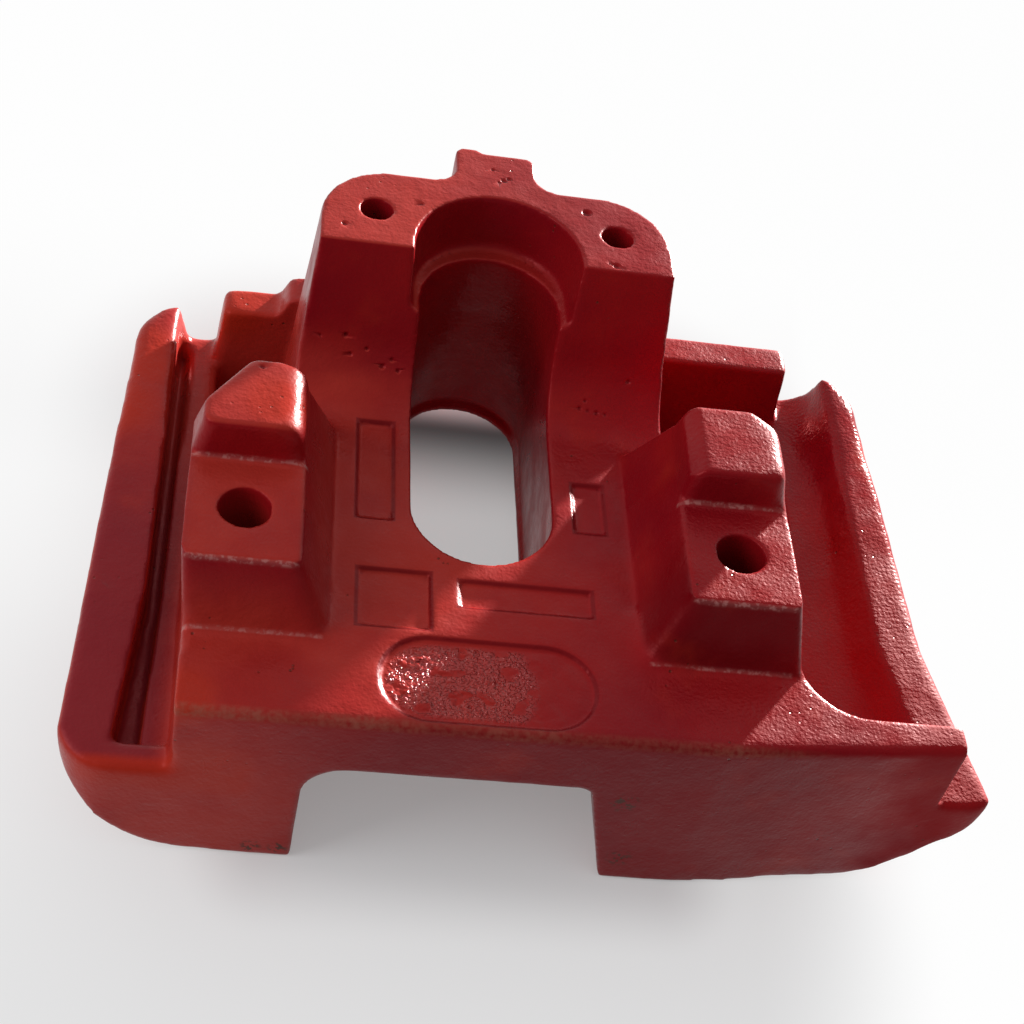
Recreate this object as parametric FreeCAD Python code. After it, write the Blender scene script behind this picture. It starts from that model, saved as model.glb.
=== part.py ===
import FreeCAD
import Part

import math
import os

V = FreeCAD.Vector

# A cast ballast weight for a telehandler, in one piece. Two legs stand either side of a
# tunnel and carry a thick slab. A tower with a stepped vertical channel rises at the back of
# the slab, two bolting pads with raised posts stand on it, and a low wing with a rim runs
# down each side.
#
# Frame: x = 0 is midway between the two pad bolt holes, y = 0 is their line, with +y towards
# the tower, and z = 0 is the top of the pads.

# Levels, measured down or up from the pad tops
slab_drop = 40.0
arch_drop = 81.0
belly_drop = 119.0
casting_depth = 160.0
tower_rise = 39.0
valley_drop = 100.0
pocket_drop = 135.0
back_wall_drop = 59.0

slab_z = -slab_drop
arch_z = -arch_drop
belly_z = -belly_drop
foot_z = -casting_depth
tower_z = tower_rise
valley_z = -valley_drop
pocket_z = -pocket_drop
back_wall_z = -back_wall_drop

# Plan of the main body. To the right of the bend the front face runs back.
front_y = -97.0
front_bend_x = 120.0
front_setback = 14.5
rear_y = 232.0
slab_left_front = 152.0
slab_left_back = 157.0
slab_right = 165.0
slab_edge_radius = 5.0
casting_draft = math.tan(math.radians(4.5))

# Tunnel between the legs: a low arch at the front, lower still under the slot
tunnel_left = 86.0
tunnel_left_radius = 22.0
tunnel_right_top = 59.0
tunnel_right_foot = 79.0
tunnel_right_radius = 9.0
arch_length = 60.0
belly_slope_length = 35.0
belly_slope_radius = 25.0

# Pads with their bolt holes
pad_hole_spacing = 254.0
pad_hole_diameter = 26.0
pad_inner = 98.0
pad_outer = 156.0
pad_front = -34.0
pad_skirt_inner = 18.0
pad_skirt_front = 13.0
pad_corner_radius = 5.0

# Posts behind the pads
post_rise = 22.0
post_front = 32.0
post_back = 84.0
post_side_lean = 5.0
post_face_lean = 3.0
post_corner_radius = 7.0
post_inner_bevel = 8.0
post_back_spread = 20.0
left_post_cut_along = 33.0
left_post_cut_across = 22.0
right_post_cut = 11.0

# Tower
tower_half = 99.0
tower_front = 168.0
tower_foot_front = 138.0
tower_foot_radius = 46.0
tower_back_radius = 41.0
lug_half = 23.0
lug_length = 33.0
lug_root_radius = 14.0
lug_tip_radius = 5.0
lug_high_width = 12.0
lug_low_width = 30.0
lug_dip = 3.5
lug_dip_radius = 10.0
lug_depth = 60.0
top_hole_spacing = 137.0
top_hole_diameter = 18.0
top_hole_depth = 50.0
top_hole_y = 198.0

# Stepped channel in the tower, and the slot below it with a lip near its foot
channel_y = 173.0
mouth_half = 47.0
mouth_floor_half = 45.0
mouth_floor_bevel = 3.0
mouth_depth = 34.5
throat_y = 167.5
throat_half = 39.2
slot_half = 38.5
slot_front = 13.0
slot_lip = 3.0
slot_lip_height = 3.0
slot_lip_slope = 4.0

# Walls across the back, either side of the tower, with a heel beside the tower on the left
back_wall_thickness = 22.0
left_wall_end = 147.0
right_wall_end = 199.0
back_wall_corner = 4.0
wall_root_depth = 20.0
heel_reach = 16.0
heel_height = 14.0
heel_radius = 6.0

# Wings: outer edge, hull-shaped underside and rim
left_wing_front = 210.0
left_wing_back = 196.0
right_wing_front = 287.0
right_wing_middle = 259.5
right_wing_back = 247.0
right_wing_bend_y = 20.0
left_wing_front_corner = 28.0
right_wing_front_corner = 14.0
wing_back_corner = 36.0
hull_knee = 105.0
bilge_rise = 2.5
bilge_radius = 60.0
left_bilge_inset = 46.0
right_bilge_inset = 57.0
shoulder_inset = 4.0
left_shoulder_drop = 24.0
left_shoulder_radius = 38.0
right_shoulder_drop = 20.0
right_shoulder_radius = 26.0
rim_front_drop = 91.0
rim_back_drop = 73.0
rim_edge_radius = 4.0

# Valleys between slab and rims, with a groove along the left one
lip_length = 17.0
rim_inner_bend_y = 20.0
left_rim_inner_front = 181.5
left_rim_inner_middle = 173.0
left_rim_inner_back = 172.0
right_rim_inner_front = 251.0
right_rim_inner_middle = 232.0
right_rim_inner_back = 227.5
rim_back_lean = 6.0
right_rim_lean = 17.0
valley_overlap = 12.0
left_floor_radius = 4.0
right_floor_radius = 22.0
groove_edge_front = 168.0
groove_edge_back = 165.0
groove_depth = 12.0
groove_end = 11.0
groove_corner = 3.0

# Web over the front of the right wing, level with the slab
web_reach = 248.5
web_width = 28.0
web_sweep_radius = 36.0
web_tip_radius = 4.0

# Sunk panels on the slab top
panel_depth = 2.2
panel_corner = 2.0
oval_y = -66.0
oval_length = 110.0
oval_width = 52.0
oval_end_share = 0.49
square_x = -47.5
square_y = -16.0
square_side = 38.5
strip_x = 21.5
strip_y = -9.0
strip_length = 71.0
strip_width = 18.0
small_x = 59.0
small_y = 59.5
small_length = 37.0
small_width = 18.0
upright_x = -58.0
upright_y = 74.5
upright_length = 73.0
upright_width = 20.0


def rounded_wire(corners, place):
    """Closed wire through (u, v, radius) corners, with a tangent arc at each rounded one."""
    count = len(corners)
    starts = []
    ends = []
    middles = []
    for i in range(count):
        u, v, radius = corners[i]
        here = V(u, v, 0)
        if radius == 0:
            starts.append(here)
            ends.append(here)
            middles.append(None)
            continue
        before = V(corners[i - 1][0], corners[i - 1][1], 0) - here
        after = V(corners[(i + 1) % count][0], corners[(i + 1) % count][1], 0) - here
        before.normalize()
        after.normalize()
        half_angle = before.getAngle(after) / 2
        setback = radius / math.tan(half_angle)
        towards_centre = before + after
        towards_centre.normalize()
        starts.append(here + before * setback)
        ends.append(here + after * setback)
        middles.append(here + towards_centre * (radius / math.sin(half_angle) - radius))
    edges = []
    for i in range(count):
        if middles[i] is not None:
            arc = Part.Arc(place(starts[i]), place(middles[i]), place(ends[i]))
            edges.append(arc.toShape())
        following = starts[(i + 1) % count]
        if ends[i].distanceToPoint(following) > 1e-6:
            edges.append(Part.makeLine(place(ends[i]), place(following)))
    return Part.Wire(edges)


def at_height(z):
    """Places outline points on the level z."""
    return lambda p: V(p.x, p.y, z)


def at_depth(y):
    """Places section points, drawn as x and z, on the upright plane at y."""
    return lambda p: V(p.x, y, p.y)


def at_side(x):
    """Places side-view points, drawn as y and z, on the upright plane at x."""
    return lambda p: V(x, p.x, p.y)


def prism(corners, bottom, top):
    """Plan outline extruded from one level to another."""
    face = Part.Face(rounded_wire(corners, at_height(bottom)))
    return face.extrude(V(0, 0, top - bottom))


def ruled(wires):
    """Solid through wires that match edge for edge, straight from each to the next."""
    return Part.makeLoft(wires, True, True)


def mirrored(corners):
    """Outline corners reflected in x, kept in the same turning order."""
    flipped = [(-u, v, radius) for u, v, radius in corners]
    flipped.reverse()
    return flipped


def on_side(side, corners):
    """The corners as drawn for the right side, or reflected for the left one."""
    return corners if side > 0 else mirrored(corners)


def body():
    """Slab over the whole width, and the block that the tunnel divides into two legs."""
    slab_plan = [
        (-slab_left_front, front_y, 0),
        (slab_right, front_y, 0),
        (slab_right, rear_y, 0),
        (-slab_left_back, rear_y, 0),
    ]
    leg_plan = [
        (-hull_knee, front_y, 0),
        (hull_knee, front_y, 0),
        (hull_knee, rear_y, 0),
        (-hull_knee, rear_y, 0),
    ]
    return prism(slab_plan, valley_z, slab_z).fuse(prism(leg_plan, foot_z, slab_z))


def tunnel():
    """Passage between the legs, open underneath and at both ends."""
    over = 5.0
    spread = (tunnel_right_foot - tunnel_right_top) / (arch_z - foot_z)
    section = [
        (-tunnel_left, foot_z - over, 0),
        (-tunnel_left, arch_z, tunnel_left_radius),
        (tunnel_right_top, arch_z, tunnel_right_radius),
        (tunnel_right_foot + spread * over, foot_z - over, 0),
    ]
    face = Part.Face(rounded_wire(section, at_depth(front_y - over)))
    passage = face.extrude(V(0, rear_y - front_y + lug_length + 2 * over, 0))
    arch_end = front_y + arch_length
    back = rear_y + lug_length + over
    side_view = [
        (front_y - over, foot_z - over, 0),
        (front_y - over, arch_z, 0),
        (arch_end, arch_z, belly_slope_radius),
        (arch_end + belly_slope_length, belly_z, belly_slope_radius),
        (back, belly_z, 0),
        (back, foot_z - over, 0),
    ]
    wide = tunnel_left + tunnel_right_foot + 2 * over
    side_face = Part.Face(rounded_wire(side_view, at_side(-tunnel_left - over)))
    return passage.common(side_face.extrude(V(wide, 0, 0)))


def tower():
    """Tower: drafted plan outline, cut to the side view with its swept front foot."""
    foot_spread = casting_draft * (tower_z - pocket_z)

    def envelope(spread, z):
        half = tower_half + spread
        corners = [
            (-half, post_front, 0),
            (half, post_front, 0),
            (half, rear_y, tower_back_radius),
            (-half, rear_y, tower_back_radius),
        ]
        return rounded_wire(corners, at_height(z))

    solid = ruled([envelope(foot_spread, pocket_z), envelope(0, tower_z)])
    wide = tower_half + 2 * foot_spread
    side_view = [
        (tower_front, tower_z, 0),
        (tower_foot_front, slab_z, tower_foot_radius),
        (post_front, slab_z, 0),
        (post_front, pocket_z, 0),
        (rear_y + 1, pocket_z, 0),
        (rear_y + 1, tower_z, 0),
    ]
    face = Part.Face(rounded_wire(side_view, at_side(-wide)))
    return solid.common(face.extrude(V(2 * wide, 0, 0)))


def lug():
    """Ear at the back of the tower top, flared into the tower and sloping back under it.

    Its tip is uneven: it stands out further at the left corner than over the rest.
    """
    flare = lug_half + 2 * lug_root_radius
    tip = rear_y + lug_length
    root = rear_y - lug_root_radius
    corners = [
        (-flare, root, 0),
        (flare, root, 0),
        (flare, rear_y, 0),
        (lug_half, rear_y, lug_root_radius),
        (lug_half, tip - lug_dip, lug_tip_radius),
        (lug_half - lug_low_width, tip - lug_dip, lug_dip_radius),
        (lug_high_width - lug_half, tip, lug_dip_radius),
        (-lug_half, tip, lug_tip_radius),
        (-lug_half, rear_y, lug_root_radius),
        (-flare, rear_y, 0),
    ]
    ear = prism(corners, tower_z - lug_depth - lug_length, tower_z)
    side_view = [
        (root - 1, tower_z, 0),
        (tip + 1, tower_z, 0),
        (tip + 1, tower_z - lug_depth, 0),
        (root - 1, tower_z - lug_depth - lug_length - lug_root_radius, 0),
    ]
    face = Part.Face(rounded_wire(side_view, at_side(-flare - 1)))
    return ear.common(face.extrude(V(2 * flare + 2, 0, 0)))


def left_edge(y):
    """Half-width of the slab's left side, which runs slightly outwards towards the back."""
    share = (y - front_y) / (rear_y - front_y)
    return slab_left_front + (slab_left_back - slab_left_front) * share


def post_cut(side):
    """How far the outer back corner of a post is cut off, along y and across x."""
    if side < 0:
        return left_post_cut_along, left_post_cut_across
    return right_post_cut, right_post_cut


def block_outline(side, inner, outer, front, back, radius):
    """Plan of a pad or post: a rectangle with its outer back corner cut off."""
    along, across = post_cut(side)
    corners = [
        (inner, front, radius),
        (outer, front, radius),
        (outer, back - along, radius),
        (outer - across, back, radius),
        (inner, back, radius),
    ]
    return on_side(side, corners)


def pad_block(side):
    """Pad with its skirts and the post behind it, for one side of the slab."""
    rear_foot = post_back + post_back_spread
    rear_at_pad = post_back + post_back_spread * post_rise / (post_rise + slab_drop)
    foot_inner = pad_inner - pad_skirt_inner
    foot_outer = left_edge(pad_front) if side < 0 else slab_right
    foot_front = pad_front - pad_skirt_front
    foot = block_outline(side, foot_inner, foot_outer, foot_front, rear_foot, pad_corner_radius)
    top = block_outline(side, pad_inner, pad_outer, pad_front, rear_at_pad, pad_corner_radius)
    pad = ruled([rounded_wire(foot, at_height(slab_z)), rounded_wire(top, at_height(0))])
    post_foot = block_outline(
        side, pad_inner, pad_outer, post_front, rear_at_pad, post_corner_radius
    )
    top_inner = pad_inner + post_side_lean / 2
    top_outer = pad_outer - post_side_lean
    top_front = post_front + post_face_lean
    post_top = block_outline(side, top_inner, top_outer, top_front, post_back, post_corner_radius)
    post = ruled(
        [rounded_wire(post_foot, at_height(0)), rounded_wire(post_top, at_height(post_rise))]
    )
    bevel_view = [
        (side * (top_inner + post_inner_bevel), post_rise + 1, 0),
        (side * (pad_inner - post_inner_bevel), post_rise + 1, 0),
        (side * (pad_inner - post_inner_bevel), post_rise - 2 * post_inner_bevel, 0),
    ]
    face = Part.Face(rounded_wire(bevel_view, at_depth(post_front - 1)))
    bevel = face.extrude(V(0, post_back - post_front + post_back_spread, 0))
    return pad.fuse(post.cut(bevel))


def front_line(x):
    """Where the front face stands at x."""
    if x <= front_bend_x:
        return front_y
    share = (x - front_bend_x) / (right_wing_front - front_bend_x)
    return front_y + front_setback * share


def front_trim():
    """Wedge taken off where the front face runs back, to the right of the bend."""
    reach = right_wing_front + 10
    before = front_y - 5
    plan = [
        (front_bend_x, before, 0),
        (reach, before, 0),
        (reach, front_line(reach), 0),
        (front_bend_x, front_y, 0),
    ]
    return prism(plan, foot_z - 1, slab_z + 1)


def edge_trim():
    """What is taken off along the slab's front top edge to round it."""
    over = 1.0

    def section(x):
        front = front_line(x)
        corners = [
            (front - over, slab_z + over, 0),
            (front - over, slab_z - slab_edge_radius, 0),
            (front, slab_z - slab_edge_radius, 0),
            (front, slab_z, slab_edge_radius),
            (front + slab_edge_radius, slab_z, 0),
            (front + slab_edge_radius, slab_z + over, 0),
        ]
        return rounded_wire(corners, at_side(x))

    left = -slab_left_front - over
    right = right_wing_front + over
    return ruled([section(x) for x in (left, front_bend_x, right)])


def rim_z(y):
    """Level of the rim top, which climbs towards the back."""
    share = (y - front_y) / (rear_y - front_y)
    return -rim_front_drop + (rim_front_drop - rim_back_drop) * share


def wing(side):
    """Low wing outside the slab: hull-shaped underside, rim on top, still without its valley."""
    inside = tower_half
    if side < 0:
        outer = [(front_y, left_wing_front), (rear_y, left_wing_back)]
        bilge_inset = left_bilge_inset
        shoulder_drop = left_shoulder_drop
        shoulder_radius = left_shoulder_radius
        front_corner = left_wing_front_corner
    else:
        outer = [
            (front_y, right_wing_front),
            (right_wing_bend_y, right_wing_middle),
            (rear_y, right_wing_back),
        ]
        bilge_inset = right_bilge_inset
        shoulder_drop = right_shoulder_drop
        shoulder_radius = right_shoulder_radius
        front_corner = right_wing_front_corner

    def section(half, y):
        corners = [
            (inside, foot_z, 0),
            (hull_knee, foot_z, 0),
            (half - bilge_inset, foot_z + bilge_rise, bilge_radius),
            (half - shoulder_inset, rim_z(y) - shoulder_drop, shoulder_radius),
            (half, rim_z(y), rim_edge_radius),
            (inside, rim_z(y), 0),
        ]
        return rounded_wire(on_side(side, corners), at_depth(y))

    hull = ruled([section(half, y) for y, half in outer])
    corner_y = front_line(right_wing_front) if side > 0 else front_y
    plan = [(inside - 1, front_y, 0)]
    if side > 0:
        plan.append((front_bend_x, front_y, 0))
    plan.append((outer[0][1], corner_y, front_corner))
    for y, half in outer[1:-1]:
        plan.append((half, y, 0))
    plan.append((outer[-1][1], outer[-1][0], wing_back_corner))
    plan.append((inside - 1, rear_y, 0))
    return hull.common(prism(on_side(side, plan), foot_z - 1, slab_z))


def valley(side):
    """Space above the wing's floor, between the slab and the leaning inner side of the rim."""
    over = 5.0
    if side < 0:
        inner = slab_left_front
        edges = (left_rim_inner_front, left_rim_inner_middle, left_rim_inner_back)
        leans = (rim_back_lean, rim_back_lean, rim_back_lean)
        radius = left_floor_radius
    else:
        inner = slab_right
        edges = (right_rim_inner_front, right_rim_inner_middle, right_rim_inner_back)
        leans = (right_rim_lean, right_rim_lean, rim_back_lean)
        radius = right_floor_radius
    places = (front_y + lip_length, rim_inner_bend_y, rear_y + over)

    def section(edge, lean, y):
        corners = [
            (inner - valley_overlap, valley_z, 0),
            (edge - lean, valley_z, radius),
            (edge, rim_z(y), 0),
            (edge, slab_z + 1, 0),
            (inner - valley_overlap, slab_z + 1, 0),
        ]
        return rounded_wire(on_side(side, corners), at_depth(y))

    return ruled([section(edge, lean, y) for edge, lean, y in zip(edges, leans, places)])


def groove():
    """Closed-ended groove along the foot of the left rim, wider towards the front."""
    front = front_y + lip_length
    back = rear_y - groove_end
    plan = [
        (-groove_edge_front, front, groove_corner),
        (-groove_edge_back, rim_inner_bend_y, 0),
        (-groove_edge_back, back, groove_corner),
        (-left_rim_inner_back, back, groove_corner),
        (-left_rim_inner_middle, rim_inner_bend_y, 0),
        (-left_rim_inner_front, front, groove_corner),
    ]
    return prism(plan, valley_z - groove_depth, slab_z)


def post_pocket(side):
    """Deep pocket behind a pad, between the tower, the back wall and the wing's floor."""
    rear_foot = post_back + post_back_spread
    along, across = post_cut(side)
    if side < 0:
        outer = left_edge(rear_foot)
        widest = slab_left_back + 1
        end = left_wall_end
    else:
        outer = slab_right
        widest = slab_right + 1
        end = right_wall_end
    plan = [
        (tower_half, rear_foot, 0),
        (outer - across, rear_foot, 0),
        (outer, rear_foot - along, 0),
        (widest, rear_foot - along, 0),
        (widest, rear_y + 1, 0),
        (tower_half, rear_y + 1, 0),
    ]
    clear = prism(on_side(side, plan), valley_z, slab_z + 1)
    deep_plan = [
        (tower_half, rear_foot, 0),
        (min(outer, end), rear_foot, 0),
        (end, rear_foot + across, 0),
        (end, rear_y - back_wall_thickness, 0),
        (tower_half, rear_y - back_wall_thickness, 0),
    ]
    return clear.fuse(prism(on_side(side, deep_plan), pocket_z, slab_z + 1))


def back_wall(side):
    """Wall across the back, from the tower to its free end in the valley."""
    end = right_wall_end if side > 0 else left_wall_end
    root = tower_half - wall_root_depth

    def outline(spread):
        face = rear_y - back_wall_thickness - spread / 2
        corners = [
            (root, face, 0),
            (end + spread, face, back_wall_corner),
            (end + spread, rear_y, back_wall_corner),
            (root, rear_y, 0),
        ]
        return on_side(side, corners)

    foot_spread = casting_draft * (back_wall_z - pocket_z)
    return ruled(
        [
            rounded_wire(outline(foot_spread), at_height(pocket_z - 1)),
            rounded_wire(outline(0), at_height(back_wall_z)),
        ]
    )


def heel():
    """Small rounded step on the left back wall, against the tower's rounded back corner."""
    root = tower_half - wall_root_depth
    corners = [
        (-tower_half - heel_reach - 2 * heel_radius, back_wall_z - 1, 0),
        (-tower_half - heel_reach - 2 * heel_radius, back_wall_z, 0),
        (-tower_half - heel_reach, back_wall_z, heel_radius),
        (-tower_half - heel_reach + heel_radius, back_wall_z + heel_height, heel_radius),
        (-root, back_wall_z + heel_height, 0),
        (-root, back_wall_z - 1, 0),
    ]
    face = Part.Face(rounded_wire(corners, at_depth(rear_y - back_wall_thickness)))
    return face.extrude(V(0, back_wall_thickness, 0))


def capsule(half, z, centre=channel_y):
    """Outline with round ends that the channel has at one level."""
    front_centre = slot_front + slot_half
    edges = [
        Part.makeLine(V(half, front_centre, z), V(half, centre, z)),
        Part.Arc(V(half, centre, z), V(0, centre + half, z), V(-half, centre, z)).toShape(),
        Part.makeLine(V(-half, centre, z), V(-half, front_centre, z)),
        Part.Arc(
            V(-half, front_centre, z), V(0, front_centre - half, z), V(half, front_centre, z)
        ).toShape(),
    ]
    return Part.Wire(edges)


def channel():
    """Stepped channel: the wide mouth at the top and the slot down through the slab."""
    over = 5.0
    mouth_floor = tower_z - mouth_depth
    widening = (mouth_half - mouth_floor_half) / mouth_depth
    lip_half = slot_half - slot_lip
    lip_z = belly_z + slot_lip_height
    mouth = ruled(
        [
            capsule(mouth_floor_half - mouth_floor_bevel, mouth_floor),
            capsule(mouth_floor_half, mouth_floor + mouth_floor_bevel),
            capsule(mouth_half + widening * over, tower_z + over),
        ]
    )
    throat = ruled([capsule(slot_half, slab_z), capsule(throat_half, mouth_floor, throat_y)])
    slot = ruled(
        [
            capsule(lip_half, foot_z - over),
            capsule(lip_half, lip_z),
            capsule(slot_half, lip_z + slot_lip_slope),
            capsule(slot_half, slab_z),
        ]
    )
    return mouth.fuse(throat).fuse(slot)


def web():
    """Web that carries the slab's front strip on over the right wing, down to its floor."""
    back = front_y + web_width
    plan = [
        (front_bend_x, front_y, 0),
        (web_reach, front_y, 0),
        (web_reach, back, web_tip_radius),
        (slab_right, back, web_sweep_radius),
        (slab_right, back + 2 * web_sweep_radius, 0),
        (front_bend_x, back + 2 * web_sweep_radius, 0),
    ]
    return prism(plan, valley_z - 1, slab_z)


def panel(x, y, length, width, corner):
    """Shallow sunk panel on the slab top, centred on x and y."""
    plan = [
        (x - length / 2, y - width / 2, corner),
        (x + length / 2, y - width / 2, corner),
        (x + length / 2, y + width / 2, corner),
        (x - length / 2, y + width / 2, corner),
    ]
    return prism(plan, slab_z - panel_depth, slab_z + 1)


def panels():
    """The five bare panels on the slab top."""
    return [
        panel(0, oval_y, oval_length, oval_width, oval_end_share * oval_width),
        panel(square_x, square_y, square_side, square_side, panel_corner),
        panel(strip_x, strip_y, strip_length, strip_width, panel_corner),
        panel(small_x, small_y, small_width, small_length, panel_corner),
        panel(upright_x, upright_y, upright_width, upright_length, panel_corner),
    ]


def bolt_holes():
    """Bolt holes right through under the pads, and blind ones in the tower top."""
    over = 1.0
    depth = casting_depth + 2 * over
    holes = []
    for side in (-1, 1):
        pad_foot = V(side * pad_hole_spacing / 2, 0, foot_z - over)
        holes.append(Part.makeCylinder(pad_hole_diameter / 2, depth, pad_foot))
        top_foot = V(side * top_hole_spacing / 2, top_hole_y, tower_z - top_hole_depth)
        holes.append(Part.makeCylinder(top_hole_diameter / 2, top_hole_depth, top_foot))
    return holes


def casting():
    """The whole casting: block and wings, then what stands on them, then what is cored out."""
    sides = (-1, 1)
    solid = body().fuse([wing(side).cut(valley(side)) for side in sides])
    solid = solid.cut([groove()] + [post_pocket(side) for side in sides])
    raised = [back_wall(side) for side in sides] + [pad_block(side) for side in sides]
    solid = solid.fuse(raised + [web(), tower(), lug(), heel()])
    trims = [front_trim(), edge_trim()]
    solid = solid.cut(trims + [tunnel(), channel()] + panels() + bolt_holes())
    return solid.removeSplitter()


def main():
    os.makedirs("parts", exist_ok=True)
    casting().exportStep("parts/ballast_casting.step")


main()
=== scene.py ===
import bmesh
import bpy
import numpy as np
from mathutils import Matrix, Vector


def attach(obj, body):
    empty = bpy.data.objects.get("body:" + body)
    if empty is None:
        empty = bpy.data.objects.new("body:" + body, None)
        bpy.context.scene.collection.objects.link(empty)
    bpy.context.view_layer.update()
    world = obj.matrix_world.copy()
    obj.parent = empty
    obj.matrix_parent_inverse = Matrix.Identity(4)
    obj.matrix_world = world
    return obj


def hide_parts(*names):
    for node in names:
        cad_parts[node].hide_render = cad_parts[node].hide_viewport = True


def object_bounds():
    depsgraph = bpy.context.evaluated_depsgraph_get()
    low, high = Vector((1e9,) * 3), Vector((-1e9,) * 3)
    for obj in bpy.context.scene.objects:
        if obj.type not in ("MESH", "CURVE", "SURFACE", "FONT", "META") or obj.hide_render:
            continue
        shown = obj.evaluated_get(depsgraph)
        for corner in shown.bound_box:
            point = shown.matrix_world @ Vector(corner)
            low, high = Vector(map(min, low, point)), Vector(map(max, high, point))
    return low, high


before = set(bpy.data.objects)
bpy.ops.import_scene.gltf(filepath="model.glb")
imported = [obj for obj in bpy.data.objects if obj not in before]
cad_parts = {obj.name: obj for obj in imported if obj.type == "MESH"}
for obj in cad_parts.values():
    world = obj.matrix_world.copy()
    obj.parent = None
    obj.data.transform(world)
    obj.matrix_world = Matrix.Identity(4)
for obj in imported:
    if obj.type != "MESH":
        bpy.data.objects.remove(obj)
cad_box = [list(corner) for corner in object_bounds()]

scene = bpy.context.scene
scene.view_settings.view_transform = "Standard"

MM = 0.001

# Outline of the casting's feet on the floor, in metres
HULL_LEFT = -0.10
HULL_RIGHT = 0.11
HULL_FRONT = -0.097
HULL_BACK = 0.232

# Levels and places of the casting, in mm, as the frame has them
SLAB_Z = -40.0
FOOT_Z = -160.0
OVAL_Y = -66.0
OVAL_LENGTH = 110.0
OVAL_WIDTH = 52.0
PANELS = [
    (-47.5, -16.0, 38.5, 38.5),
    (21.5, -9.0, 71.0, 18.0),
    (59.0, 59.5, 18.0, 37.0),
    (-58.0, 74.5, 20.0, 73.0),
    (0.0, OVAL_Y, OVAL_LENGTH, OVAL_WIDTH),
]

VOXEL = 1.5 * MM
ROUNDING_STEPS = 7
SOFT_STEPS = 160
TRIANGLES = 150000

# Where edges and feet are rounded far more than elsewhere: lower and upper corner in mm,
# the width over which this fades out, and its share
SOFT_ZONES = [
    ((-215.0, -100.0, -120.0), (-112.0, -84.0, -82.0), 12.0, 0.30),
    ((-215.0, 165.0, -140.0), (-172.0, 240.0, -60.0), 45.0, 0.5),
    ((240.0, 165.0, -140.0), (285.0, 240.0, -60.0), 45.0, 0.5),
    ((245.0, -60.0, -140.0), (285.0, 240.0, -60.0), 20.0, 0.15),
    ((180.0, -100.0, -165.0), (285.0, -60.0, -108.0), 25.0, 0.4),
    ((70.0, -62.0, -46.0), (102.0, -16.0, -9.0), 9.0, 1.0),
    ((-96.0, -60.0, -46.0), (-72.0, -20.0, -12.0), 12.0, 0.6),
    ((-160.0, -56.0, -44.0), (-96.0, -44.0, -34.0), 8.0, 0.3),
    ((96.0, -56.0, -44.0), (150.0, -44.0, -34.0), 8.0, 0.4),
    ((144.0, 30.0, 6.0), (162.0, 92.0, 24.0), 8.0, 0.4),
    ((-108.0, 34.0, 6.0), (-92.0, 92.0, 24.0), 8.0, 0.35),
]

# Spots in mm, with their radius: painted sunlight, the blistered crust, painted shade and rust
SUNLIT_SPOTS = [
    ((-150.0, -88.0, -40.0), 24.0),
    ((-142.0, 222.0, -59.0), 34.0),
    ((-192.0, 185.0, -75.0), 40.0),
    ((-202.0, 145.0, -74.0), 34.0),
    ((-115.0, 55.0, 20.0), 24.0),
    ((262.0, 160.0, -80.0), 30.0),
]
BLISTER_SPOT = (-16.0, -67.0, -42.0)
BLISTER_RADIUS = 50.0
# Where steep faces are painted darker, as painted shade
SHADE_SPOT = (118.0, -44.0, -18.0)
SHADE_RADIUS = 75.0
RUST_SPOTS = [
    ((-107.0, -97.0, -152.0), 7.0),
    ((-93.0, -97.0, -152.0), 7.0),
    ((86.0, -97.0, -140.0), 9.0),
    ((60.0, -97.0, -156.0), 8.0),
    ((78.0, -97.0, -90.0), 10.0),
]

# Painted glints in lines on the pads: their front edge, the foot of the post and their own foot
PAD_GLINT_LINES = [(-34.0, 0.0), (32.0, 0.0), (-47.0, SLAB_Z)]

# Blowholes and dents in mm: centre, radius and depth
PITS = [
    ((51.9, 216.9, 39.0), 3.6, 1.6),
    ((66.0, 172.4, 39.0), 2.8, 1.2),
    ((-86.0, 181.8, 39.0), 2.4, 1.0),
    ((-43.3, 206.8, 39.0), 2.0, 0.8),
    ((4.5, 237.2, 39.0), 2.6, 0.8),
    ((7.5, 239.4, 39.0), 2.2, 0.8),
    ((1.8, 235.2, 39.0), 2.0, 0.6),
    ((-1.5, 246.5, 39.0), 1.8, 0.6),
    ((-78.7, 148.4, -12.4), 2.2, 1.2),
    ((-75.3, 143.1, -21.5), 2.0, 1.0),
    ((-56.8, 140.1, -25.1), 2.4, 1.2),
    ((-47.6, 138.8, -26.4), 1.8, 0.9),
    ((-66.2, 145.3, -18.3), 1.7, 0.8),
    ((-51.6, 142.6, -22.1), 1.8, 0.8),
    ((-61.1, 141.3, -18.3), 1.7, 0.8),
    ((-92.9, 147.7, -13.9), 1.6, 0.7),
    ((83.6, 143.8, -20.5), 2.0, 0.9),
    ((57.0, 131.0, -33.0), 2.0, 0.8),
    ((62.0, 130.0, -33.5), 1.7, 0.7),
    ((67.0, 129.5, -34.0), 2.1, 0.9),
    ((72.0, 129.0, -34.0), 1.6, 0.6),
    ((60.0, 134.5, -30.0), 1.7, 0.6),
    ((-124.0, 78.9, 22.0), 2.4, 1.0),
]


def lattice(cells, seed):
    """A repeatable value between 0 and 1 at each whole-number point."""
    x, y, z = (cells[..., i].astype(np.uint64) for i in range(3))
    h = x * np.uint64(73856093) ^ y * np.uint64(19349663) ^ z * np.uint64(83492791)
    h = h ^ np.uint64(seed * 2654435761)
    h = (h ^ (h >> np.uint64(13))) * np.uint64(1274126177)
    h = h ^ (h >> np.uint64(16))
    return (h & np.uint64(0xFFFFFF)).astype(np.float64) / float(0xFFFFFF)


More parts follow.
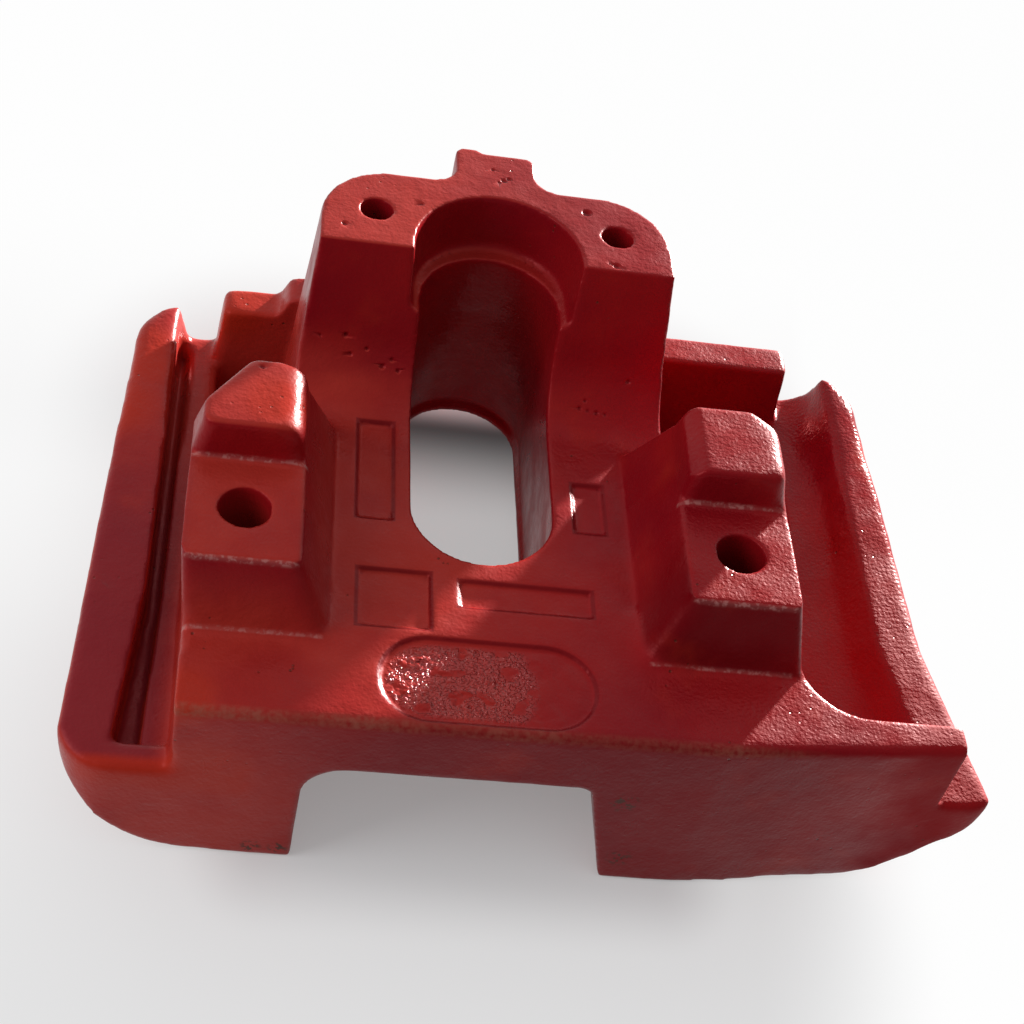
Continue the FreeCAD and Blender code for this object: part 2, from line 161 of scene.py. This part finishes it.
def value_noise(points, size, seed):
    """Smooth noise from -1 to 1 whose bumps are about size across, at points in mm."""
    scaled = points / size + 1000.0
    cell = np.floor(scaled).astype(np.int64)
    part = scaled - cell
    part = part * part * (3.0 - 2.0 * part)
    total = np.zeros(len(points))
    for corner in range(8):
        offset = np.array([corner & 1, corner >> 1 & 1, corner >> 2 & 1])
        weight = np.ones(len(points))
        for axis in range(3):
            weight *= part[:, axis] if offset[axis] else 1.0 - part[:, axis]
        total += weight * lattice(cell + offset, seed)
    return 2.0 * total - 1.0


def falloff(distance, width):
    """1 where distance is negative, easing to 0 where it reaches width."""
    t = np.clip(1.0 - distance / width, 0.0, 1.0)
    return t * t * (3.0 - 2.0 * t)


def coordinates(mesh):
    flat = np.empty(3 * len(mesh.vertices))
    mesh.vertices.foreach_get("co", flat)
    return flat.reshape(-1, 3)


def normals(mesh):
    flat = np.empty(3 * len(mesh.vertices), dtype=np.float32)
    mesh.vertex_normals.foreach_get("vector", flat)
    return flat.reshape(-1, 3).astype(np.float64)


def bake(obj):
    """Replaces an object's mesh by what its modifiers make of it."""
    evaluated = obj.evaluated_get(bpy.context.evaluated_depsgraph_get())
    mesh = bpy.data.meshes.new_from_object(evaluated)
    obj.modifiers.clear()
    obj.data = mesh
    return mesh


def weld(mesh):
    shape = bmesh.new()
    shape.from_mesh(mesh)
    bmesh.ops.remove_doubles(shape, verts=shape.verts, dist=1e-6)
    shape.to_mesh(mesh)
    shape.free()


def set_group(obj, name, weights):
    """Vertex group with one of a hundred weight steps for each point."""
    group = obj.vertex_groups.new(name=name)
    steps = np.round(weights * 100).astype(int)
    for step in range(1, 101):
        members = np.nonzero(steps == step)[0]
        if len(members):
            group.add(members.tolist(), step / 100.0, "REPLACE")


def near_panels(points, margin):
    """How far each point counts as part of a sunk panel, from 0 to 1."""
    level = falloff(np.abs(points[:, 2] - SLAB_Z) - 3.0, 2.0)
    best = np.zeros(len(points))
    for x, y, length, width in PANELS:
        outside = np.maximum(
            np.abs(points[:, 0] - x) - length / 2, np.abs(points[:, 1] - y) - width / 2
        )
        best = np.maximum(best, falloff(outside - margin, 3.0))
    return best * level


def in_oval(points):
    """How far each point is on the floor of the oval panel, from 0 to 1."""
    run = np.maximum(np.abs(points[:, 0]) - (OVAL_LENGTH - OVAL_WIDTH) / 2, 0.0)
    radius = np.hypot(run, points[:, 1] - OVAL_Y)
    level = falloff(np.abs(points[:, 2] - SLAB_Z) - 4.0, 2.0)
    return falloff(radius - (OVAL_WIDTH / 2 - 7.0), 5.0) * level


def cast_surface(obj):
    """Uneven skin of a sand casting: slow waves, small lumps and the rough floor of the oval."""
    mesh = obj.data
    points = coordinates(mesh) / MM
    offset = 0.16 * value_noise(points, 26.0, 1)
    offset += 0.10 * value_noise(points, 9.0, 2)
    offset += 0.05 * value_noise(points, 4.0, 3)
    lumps = 0.6 * np.abs(value_noise(points, 8.0, 4)) + 0.25 * value_noise(points, 4.0, 5)
    offset += in_oval(points) * lumps
    moved = points + normals(mesh) * offset[:, None]
    mesh.vertices.foreach_set("co", (moved * MM).ravel())
    mesh.update()


def in_zones(points):
    """How far each point is in one of the zones that are rounded more, from 0 to 1."""
    best = np.zeros(len(points))
    for low, high, fade, share in SOFT_ZONES:
        outside = np.maximum(np.array(low) - points, points - np.array(high)).max(axis=1)
        best = np.maximum(best, share * falloff(outside, fade))
    return best


def rounded(obj, name, weights, steps):
    """Adds smoothing that acts as far as each point's weight says."""
    set_group(obj, name, weights)
    smooth = obj.modifiers.new(name, "SMOOTH")
    smooth.factor = 0.5
    smooth.iterations = steps
    smooth.vertex_group = name


def refine(obj):
    """Splits the faces of the oval and round each pit, so that they can hold finer detail."""
    shape = bmesh.new()
    shape.from_mesh(obj.data)
    for longest in (2.2, 1.3, 0.8):
        shape.verts.index_update()
        points = np.array([v.co for v in shape.verts]) / MM
        wanted = (in_oval(points) > 0.3) & (points[:, 0] < 30.0)
        for centre, radius, depth in PITS:
            wanted |= np.linalg.norm(points - np.array(centre), axis=1) < radius * 1.6 + longest
        edges = [
            e for e in shape.edges
            if wanted[e.verts[0].index] and wanted[e.verts[1].index] and e.calc_length() > longest * MM
        ]
        bmesh.ops.subdivide_edges(shape, edges=edges, cuts=1)
        bmesh.ops.triangulate(shape, faces=[f for f in shape.faces if len(f.verts) > 3])
    shape.to_mesh(obj.data)
    shape.free()


def fine_marks(obj):
    """Blowholes and dents, and the crust on the floor of the oval, which is roughest at the left."""
    mesh = obj.data
    points = coordinates(mesh) / MM
    offset = np.zeros(len(points))
    # How far each point lies inside a pit, used in the paint for painted shade
    inside = np.zeros(len(points))
    for centre, radius, depth in PITS:
        away = np.linalg.norm(points - np.array(centre), axis=1) / radius
        offset -= depth * falloff(away - 0.25, 0.75)
        inside = np.maximum(inside, falloff(away - 0.35, 0.35))
    crust = in_oval(points) * (0.15 + 0.85 * falloff(points[:, 0] - 2.0, 14.0))
    crust *= np.clip(0.75 + 1.2 * value_noise(points, 11.0, 8), 0.15, 1.0)
    offset += crust * (0.55 * value_noise(points, 2.3, 6) + 0.40 * value_noise(points, 1.3, 7))
    moved = (points + normals(mesh) * offset[:, None]) * MM
    mesh.vertices.foreach_set("co", np.clip(moved, cad_box[0], cad_box[1]).ravel())
    mesh.attributes.new("pit", "FLOAT", "POINT").data.foreach_set("value", inside)
    mesh.update()


def softened_casting():
    """The casting with its edges and corners rounded as sand casting and thick paint leave them."""
    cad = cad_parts["ballast_casting"]
    obj = bpy.data.objects.new("casting", cad.data.copy())
    scene.collection.objects.link(obj)
    obj.data.materials.clear()
    weld(obj.data)
    remesh = obj.modifiers.new("remesh", "REMESH")
    remesh.mode = "VOXEL"
    remesh.voxel_size = VOXEL * 1.0
    bake(obj)
    points = coordinates(obj.data) / MM
    rounded(obj, "round", 1.0 - 0.75 * near_panels(points, 3.0), ROUNDING_STEPS)
    rounded(obj, "soft", in_zones(points), SOFT_STEPS)
    bake(obj)
    obj.vertex_groups.clear()
    cast_surface(obj)
    count = sum(len(p.vertices) - 2 for p in obj.data.polygons)
    if count > TRIANGLES:
        decimate = obj.modifiers.new("decimate", "DECIMATE")
        decimate.ratio = TRIANGLES / count
        bake(obj)
    refine(obj)
    fine_marks(obj)
    for polygon in obj.data.polygons:
        polygon.use_smooth = True
    print("triangles", sum(len(p.vertices) - 2 for p in obj.data.polygons))
    return obj


class Nodes:
    """Short calls for building a node tree."""

    def __init__(self, owner):
        self.owner = owner
        owner.use_nodes = True
        self.tree = owner.node_tree
        self.tree.nodes.clear()

    def add(self, kind, **settings):
        node = self.tree.nodes.new(kind)
        for key, value in settings.items():
            setattr(node, key, value)
        return node

    def link(self, out, socket):
        if hasattr(out, "is_output"):
            self.tree.links.new(out, socket)
        else:
            socket.default_value = out

    def noise(self, place, scale, detail=2.0, rough=0.5):
        node = self.add("ShaderNodeTexNoise")
        self.link(place, node.inputs["Vector"])
        node.inputs["Scale"].default_value = scale
        node.inputs["Detail"].default_value = detail
        node.inputs["Roughness"].default_value = rough
        return node.outputs["Fac"]

    def cells(self, place, scale, feature="F1"):
        node = self.add("ShaderNodeTexVoronoi", feature=feature)
        self.link(place, node.inputs["Vector"])
        node.inputs["Scale"].default_value = scale
        return node

    def split(self, vector):
        node = self.add("ShaderNodeSeparateXYZ")
        self.link(vector, node.inputs["Vector"])
        return [node.outputs[axis] for axis in "XYZ"]

    def near(self, place, centre, radius):
        """1 close to a point that is given in mm, easing to 0 at the radius."""
        node = self.add("ShaderNodeVectorMath", operation="DISTANCE")
        self.link(place, node.inputs[0])
        node.inputs[1].default_value = [value * MM for value in centre]
        return self.ramp(node.outputs["Value"], radius * MM, radius * 0.35 * MM)

    def outside_box(self, place, centre, half):
        """How far a place is beyond a box along each axis, below 0 inside it, in metres."""
        offset = self.add("ShaderNodeVectorMath", operation="SUBTRACT")
        self.link(place, offset.inputs[0])
        offset.inputs[1].default_value = centre
        away = self.add("ShaderNodeVectorMath", operation="ABSOLUTE")
        self.link(offset.outputs["Vector"], away.inputs[0])
        beyond = self.add("ShaderNodeVectorMath", operation="SUBTRACT")
        self.link(away.outputs["Vector"], beyond.inputs[0])
        beyond.inputs[1].default_value = half
        return beyond.outputs["Vector"]

    def distance_outside(self, place, centre, half):
        """Straight distance from a place to a box, 0 inside it, in metres."""
        outside = self.add("ShaderNodeVectorMath", operation="MAXIMUM")
        self.link(self.outside_box(place, centre, half), outside.inputs[0])
        outside.inputs[1].default_value = (0.0, 0.0, 0.0)
        length = self.add("ShaderNodeVectorMath", operation="LENGTH")
        self.link(outside.outputs["Vector"], length.inputs[0])
        return length.outputs["Value"]

    def strip(self, value, middle, width):
        """1 where a value is close to the middle, easing to 0 at the width."""
        away = self.math("ABSOLUTE", self.math("SUBTRACT", value, middle))
        return self.ramp(away, width, width * 0.3)

    def ramp(self, value, low, high, out_low=0.0, out_high=1.0):
        node = self.add("ShaderNodeMapRange", interpolation_type="SMOOTHSTEP")
        self.link(value, node.inputs["Value"])
        node.inputs["From Min"].default_value = low
        node.inputs["From Max"].default_value = high
        node.inputs["To Min"].default_value = out_low
        node.inputs["To Max"].default_value = out_high
        return node.outputs["Result"]

    def math(self, operation, a, b=0.0):
        node = self.add("ShaderNodeMath", operation=operation)
        self.link(a, node.inputs[0])
        self.link(b, node.inputs[1])
        return node.outputs["Value"]

    def mix(self, factor, a, b):
        node = self.add("ShaderNodeMix", data_type="RGBA")
        self.link(factor, node.inputs["Factor"])
        self.link(a, node.inputs[6])
        self.link(b, node.inputs[7])
        return node.outputs[2]


def red_paint():
    """Thick glossy red paint over rough iron: blotchy colour, orange peel, pits and rust specks, with
    painted sunlight, painted shade, painted sky reflection and painted glints by place.
    """
    n = Nodes(bpy.data.materials.new("red_paint"))
    place = n.add("ShaderNodeTexCoord").outputs["Object"]
    x, y, z = n.split(place)
    geometry = n.add("ShaderNodeNewGeometry")
    facing = n.split(geometry.outputs["Normal"])

    deep = (0.230, 0.0035, 0.0085, 1.0)
    red = (0.300, 0.0060, 0.0085, 1.0)
    # Darker copy of the red paint, used for painted shade
    shade_colour = (0.150, 0.0010, 0.0040, 1.0)
    shade_and_sky_reflection = (0.200, 0.0160, 0.0260, 1.0)
    dust_and_painted_light = (0.410, 0.0290, 0.0200, 1.0)
    painted_sunlight = (0.430, 0.0250, 0.0110, 1.0)
    wear_and_highlight = (0.330, 0.1200, 0.0800, 1.0)
    rust = (0.060, 0.0220, 0.0120, 1.0)
    # Pale pink, used for painted glints
    pale = (0.560, 0.2400, 0.2200, 1.0)

    broad = n.ramp(n.noise(place, 9.0, 3.0, 0.55), 0.34, 0.62)
    colour = n.mix(broad, deep, red)

    # Dust mixed with painted light: lighter, warmer paint on the left side and on its upward and low
    # faces, standing in for the light that falls there
    left = n.ramp(x, 0.09, -0.05)
    low = n.math("MULTIPLY", n.ramp(z, 0.0, -0.035), n.ramp(x, -0.04, -0.12, 0.05, 1.0))
    upward = n.ramp(facing[2], 0.55, 0.90)
    dust_and_light_here = n.math("MULTIPLY", left, n.math("MAXIMUM", low, upward))
    blotches = n.ramp(n.noise(place, 16.0, 3.0, 0.6), 0.32, 0.62, 0.5, 1.0)
    colour = n.mix(n.math("MULTIPLY", dust_and_light_here, blotches), colour, dust_and_painted_light)
    # Painted shade and painted sky reflection: darker, bluer paint on the upward faces of the left rim,
    # more so towards the front
    rim_sky_reflection = n.math("MULTIPLY", n.ramp(x, -0.150, -0.165), upward)
    colour = n.mix(n.math("MULTIPLY", rim_sky_reflection, n.ramp(y, 0.14, 0.04, 0.2, 0.8)), colour, shade_and_sky_reflection)
    # Painted shade: darker paint on the steep faces around the inner front of the right pad
    shaded = n.math("MULTIPLY", n.near(place, SHADE_SPOT, SHADE_RADIUS), n.math("SUBTRACT", 1.0, upward))
    colour = n.mix(n.math("MULTIPLY", shaded, 0.95), colour, shade_colour)
    # Painted shade: the front face is painted darker, more so towards the right
    front_face_shade = n.math("MULTIPLY", n.ramp(y, -0.088, -0.095), n.ramp(x, -0.13, -0.02, 0.0, 0.45))
    colour = n.mix(front_face_shade, colour, shade_colour)

    # Painted shade: a dark line along the edges of the oval and the other sunk panels
    run = (OVAL_LENGTH - OVAL_WIDTH) / 2 * MM
    to_oval = n.distance_outside(place, (0.0, OVAL_Y * MM, 0.0), (run, 0.0, 1.0))
    panel_edge_shade = n.strip(to_oval, OVAL_WIDTH / 2 * MM, 0.0016)
    for centre_x, centre_y, length, width in PANELS[:-1]:
        half = (length / 2 * MM, width / 2 * MM, 0.0)
        beyond = n.split(n.outside_box(place, (centre_x * MM, centre_y * MM, 0.0), half))
        panel_edge_shade = n.math("MAXIMUM", panel_edge_shade, n.strip(n.math("MAXIMUM", beyond[0], beyond[1]), 0.0, 0.0016))
    panel_edge_shade = n.math("MULTIPLY", panel_edge_shade, n.strip(z, SLAB_Z * MM, 0.008))
    colour = n.mix(n.math("MULTIPLY", panel_edge_shade, 0.8), colour, shade_colour)

    # Painted sunlight: brighter, warmer paint in random patches, in spots where sun falls, and as a
    # painted highlight along the rounded front lip of the left wing
    tone_and_sunlight = n.ramp(n.noise(place, 24.0, 3.0, 0.6), 0.55, 0.80, 0.0, 0.35)
    for centre, radius in SUNLIT_SPOTS:
        tone_and_sunlight = n.math("MAXIMUM", tone_and_sunlight, n.near(place, centre, radius))
    lip_highlight = n.math("MULTIPLY", n.ramp(y, -0.087, -0.093), n.ramp(x, -0.106, -0.118))
    lip_highlight = n.math("MULTIPLY", lip_highlight, n.math("MULTIPLY", n.ramp(z, -0.112, -0.100), n.ramp(z, -0.060, -0.080)))
    tone_and_sunlight = n.math("MAXIMUM", tone_and_sunlight, lip_highlight)
    colour = n.mix(n.math("MULTIPLY", tone_and_sunlight, n.ramp(blotches, 0.5, 0.8, 0.55, 0.95)), colour, painted_sunlight)

    # Painted shade: darker paint in creases and hollows, where Pointiness is low
    crease_shade = n.ramp(geometry.outputs["Pointiness"], 0.485, 0.44, 0.0, 0.75)
    colour = n.mix(crease_shade, colour, shade_colour)
    fine = n.noise(place, 300.0, 2.0, 0.6)
    # Wear and painted highlight: a pale brownish broken line along the slab's front top edge
    front_edge_wear_and_highlight = n.math("MULTIPLY", n.ramp(y, -0.0905, -0.0945), n.ramp(z, -0.0465, -0.0435))
    front_edge_wear_and_highlight = n.math("MULTIPLY", front_edge_wear_and_highlight, n.ramp(fine, 0.25, 0.7, 0.1, 0.7))
    front_edge_wear_and_highlight = n.math("MULTIPLY", front_edge_wear_and_highlight, n.ramp(broad, 0.0, 1.0, 0.4, 0.85))
    colour = n.mix(front_edge_wear_and_highlight, colour, wear_and_highlight)

    # Painted glints: pale specks along the pads' front edges, the feet of the posts and the pads' own feet
    glint_lines = 0.0
    for line_y, line_z in PAD_GLINT_LINES:
        glint_line = n.math("MULTIPLY", n.strip(y, line_y * MM, 0.0016), n.strip(z, line_z * MM, 0.004))
        glint_lines = n.math("MAXIMUM", glint_lines, glint_line)
    sideways = n.math("ABSOLUTE", x)
    between = n.math("MULTIPLY", n.ramp(sideways, 0.082, 0.086), n.ramp(sideways, 0.160, 0.156))
    glints = n.math("MULTIPLY", n.ramp(fine, 0.46, 0.62, 0.15, 0.6), between)
    colour = n.mix(n.math("MULTIPLY", glints, glint_lines), colour, pale)

    rusty = 0.0
    for centre, radius in RUST_SPOTS:
        rusty = n.math("MAXIMUM", rusty, n.near(place, centre, radius))
    colour = n.mix(n.math("MULTIPLY", rusty, n.ramp(fine, 0.50, 0.58)), colour, rust)

    pit = n.cells(place, 150.0)
    pit_here = n.ramp(n.noise(place, 26.0, 2.0), 0.58, 0.66)
    crater = n.math("MULTIPLY", n.ramp(pit.outputs["Distance"], 0.16, 0.05), pit_here)
    colour = n.mix(n.math("MULTIPLY", crater, 0.75), colour, rust)
    # Painted shade: darker paint inside the blowholes and dents
    pit_shade = n.add("ShaderNodeAttribute", attribute_name="pit").outputs["Fac"]
    colour = n.mix(n.math("MULTIPLY", pit_shade, 0.7), colour, shade_colour)

    peel = n.noise(place, 500.0, 1.0, 0.5)
    waves = n.noise(place, 120.0, 2.0, 0.5)
    height = n.math("ADD", n.math("MULTIPLY", peel, 0.35), n.math("MULTIPLY", waves, 0.65))
    height = n.math("SUBTRACT", height, n.math("MULTIPLY", crater, 0.9))
    grainy = n.math("MULTIPLY", n.ramp(x, 0.05, 0.12), upward)
    height = n.math("ADD", height, n.math("MULTIPLY", n.math("MULTIPLY", peel, grainy), 0.35))
    blister = n.ramp(peel, 0.42, 0.62)
    on_floor = n.ramp(to_oval, (OVAL_WIDTH / 2 - 2.5) * MM, (OVAL_WIDTH / 2 - 6.0) * MM)
    islands = n.ramp(n.noise(place, 90.0, 1.0, 0.5), 0.34, 0.56)
    islands = n.math("MULTIPLY", islands, n.near(place, BLISTER_SPOT, BLISTER_RADIUS))
    blistered = n.math("MULTIPLY", n.ramp(islands, 0.10, 0.35), on_floor)
    height = n.math("ADD", height, n.math("MULTIPLY", n.math("MULTIPLY", blister, blistered), 1.8))
    bump = n.add("ShaderNodeBump")
    bump.inputs["Strength"].default_value = 0.55
    bump.inputs["Distance"].default_value = 0.0009
    n.link(height, bump.inputs["Height"])

    rough = n.ramp(n.noise(place, 45.0, 2.0, 0.6), 0.3, 0.75, 0.26, 0.44)
    weathered = n.math("MULTIPLY", n.ramp(x, 0.205, 0.235), n.ramp(y, 0.08, -0.04))
    rough = n.math("ADD", rough, n.math("MULTIPLY", weathered, 0.30))
    glossier = n.math("MULTIPLY", n.ramp(x, 0.205, 0.235), n.ramp(y, 0.08, 0.16, 0.0, 0.12))
    rough = n.math("SUBTRACT", rough, glossier)
    rough = n.math("SUBTRACT", rough, n.math("MULTIPLY", blistered, 0.12))

    shader = n.add("ShaderNodeBsdfPrincipled")
    n.link(colour, shader.inputs["Base Color"])
    n.link(rough, shader.inputs["Roughness"])
    n.link(bump.outputs["Normal"], shader.inputs["Normal"])
    n.link(n.math("MULTIPLY", blistered, 0.45), shader.inputs["Coat Weight"])
    n.link(bump.outputs["Normal"], shader.inputs["Coat Normal"])
    shader.inputs["Coat Roughness"].default_value = 0.1
    shader.inputs["Specular IOR Level"].default_value = 0.42
    shader.inputs["IOR"].default_value = 1.5
    shader.inputs["Specular Tint"].default_value = (1.0, 0.20, 0.20, 1.0)
    output = n.add("ShaderNodeOutputMaterial")
    n.link(shader.outputs["BSDF"], output.inputs["Surface"])
    return n.owner


def seen_directly(n, back):
    """1 for rays that show a backdrop: straight from the camera, mirrored or through glass.

    Mirrored rays see the white only towards the back, where back is 1.
    """
    path = n.add("ShaderNodeLightPath")
    mirrored = n.math("MULTIPLY", path.outputs["Is Glossy Ray"], back)
    straight = n.math("MAXIMUM", path.outputs["Is Camera Ray"], path.outputs["Is Transmission Ray"])
    return n.math("MAXIMUM", straight, mirrored)


def floor_material():
    """Pale floor that turns white away from the casting and keeps its shadow close by; beneath the casting
    it glows more towards the front and holds a painted shadow at the back, and it is left greyer towards
    the front and the left.
    """
    n = Nodes(bpy.data.materials.new("pale_floor"))
    place = n.add("ShaderNodeNewGeometry").outputs["Position"]
    x, y, z = n.split(place)
    middle = ((HULL_LEFT + HULL_RIGHT) / 2, (HULL_FRONT + HULL_BACK) / 2, 0.0)
    half = ((HULL_RIGHT - HULL_LEFT) / 2, (HULL_BACK - HULL_FRONT) / 2, 1.0)
    distance = n.distance_outside(place, middle, half)
    # Painted light beneath the casting: the floor glows more towards the front and not at the back
    painted_light_beneath = n.math("MINIMUM", n.ramp(y, 0.245, 0.15, 0.0, 0.40), n.ramp(y, 0.0, 0.12, 0.24, 0.40))
    near = n.ramp(distance, 0.0, 0.05, 0.0, 0.32)
    # Less white towards the front and the left, which leaves a painted soft shade there
    behind = n.math("MAXIMUM", n.ramp(y, -0.30, 0.45, 0.10, 1.0), n.ramp(x, 0.12, 0.27))
    far = n.math("MULTIPLY", n.ramp(distance, 0.02, 0.17, 0.0, 0.66), behind)
    outward = n.math("ADD", near, far)
    white = n.math("ADD", painted_light_beneath, n.math("MULTIPLY", outward, n.math("SUBTRACT", 1.0, painted_light_beneath)))
    factor = n.math("MULTIPLY", white, seen_directly(n, n.ramp(y, -0.35, 0.0, 0.15, 1.0)))

    # Painted shadow: the floor's colour is darker at the back, under the casting
    painted_shadow_beneath = n.math("MULTIPLY", n.ramp(y, 0.17, 0.235), n.ramp(distance, 0.03, 0.0))
    shader = n.add("ShaderNodeBsdfDiffuse")
    n.link(n.mix(painted_shadow_beneath, (0.82, 0.82, 0.82, 1.0), (0.16, 0.16, 0.16, 1.0)), shader.inputs["Color"])
    glow = n.add("ShaderNodeEmission")
    glow.inputs["Color"].default_value = (1.0, 1.0, 1.0, 1.0)
    glow.inputs["Strength"].default_value = 1.0
    mix = n.add("ShaderNodeMixShader")
    n.link(factor, mix.inputs["Fac"])
    n.link(shader.outputs["BSDF"], mix.inputs[1])
    n.link(glow.outputs["Emission"], mix.inputs[2])
    output = n.add("ShaderNodeOutputMaterial")
    n.link(mix.outputs["Shader"], output.inputs["Surface"])
    return n.owner


def floor():
    mesh = bpy.data.meshes.new("floor")
    size = 8.0
    z = FOOT_Z * MM - 0.0002
    corners = [(-size, -size, z), (size, -size, z), (size, size, z), (-size, size, z)]
    mesh.from_pydata(corners, [], [(0, 1, 2, 3)])
    obj = bpy.data.objects.new("floor", mesh)
    scene.collection.objects.link(obj)
    mesh.materials.append(floor_material())


def area_lamp(name, direction, distance, size, power, colour=(1.0, 1.0, 1.0)):
    """Square lamp that looks at the middle of the casting from one direction."""
    target = Vector((0.03, 0.06, -0.06))
    away = Vector(direction).normalized()
    data = bpy.data.lights.new(name, "AREA")
    data.shape = "SQUARE"
    data.size = size
    data.energy = power
    data.color = colour
    obj = bpy.data.objects.new(name, data)
    obj.location = target + away * distance
    obj.rotation_euler = away.to_track_quat("Z", "Y").to_euler()
    scene.collection.objects.link(obj)
    return obj


def sky():
    """Pale light, strongest from above, which shows as white behind the casting."""
    world = bpy.data.worlds.new("studio")
    n = Nodes(world)
    scene.world = world
    x, y, z = n.split(n.add("ShaderNodeTexCoord").outputs["Generated"])
    light = n.add("ShaderNodeBackground")
    light.inputs["Color"].default_value = (0.97, 0.98, 1.0, 1.0)
    n.link(n.ramp(z, -0.1, 0.9, 0.08, 0.46), light.inputs["Strength"])
    white = n.add("ShaderNodeBackground")
    white.inputs["Color"].default_value = (1.0, 1.0, 1.0, 1.0)
    white.inputs["Strength"].default_value = 1.0
    mix = n.add("ShaderNodeMixShader")
    n.link(seen_directly(n, n.ramp(y, -0.3, 0.3)), mix.inputs["Fac"])
    n.link(light.outputs["Background"], mix.inputs[1])
    n.link(white.outputs["Background"], mix.inputs[2])
    output = n.add("ShaderNodeOutputWorld")
    n.link(mix.outputs["Shader"], output.inputs["Surface"])


def lights(casting):
    """A low lamp from the back right as in the photograph, which leaves out the floor, and a fill."""
    key = area_lamp("key", (0.611, 0.781, 0.131), 3.6, 0.16, 520.0, (1.0, 0.97, 0.93))
    lit = bpy.data.collections.new("lit by the key")
    lit.objects.link(casting)
    key.light_linking.receiver_collection = lit
    area_lamp("fill", (-1.0, -0.25, 0.6), 2.2, 1.2, 17.0, (0.98, 0.98, 1.0))
    sky()


def camera():
    """Camera at the photograph's place, worked out from the known levels of the casting."""
    data = bpy.data.cameras.new("camera")
    data.sensor_width = 36.0
    data.lens = 66.896
    data.shift_x = -0.00244
    data.shift_y = 0.00068
    data.clip_end = 50.0
    obj = bpy.data.objects.new("camera", data)
    turn = Vector((2.38069246, 0.0380598438, 0.235281517))
    axes = Matrix.Rotation(turn.length, 3, turn.normalized())
    right, down, ahead = axes[0], axes[1], axes[2]
    pose = Matrix.Identity(4)
    for i in range(3):
        pose[i][0] = right[i]
        pose[i][1] = -down[i]
        pose[i][2] = -ahead[i]
    pose.translation = Vector((-0.14505, -0.64595, 0.69371))
    obj.matrix_world = pose
    scene.collection.objects.link(obj)
    scene.camera = obj


casting = softened_casting()
casting.data.materials.append(red_paint())
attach(casting, "root")
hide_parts("ballast_casting")
floor()
lights(casting)
camera()
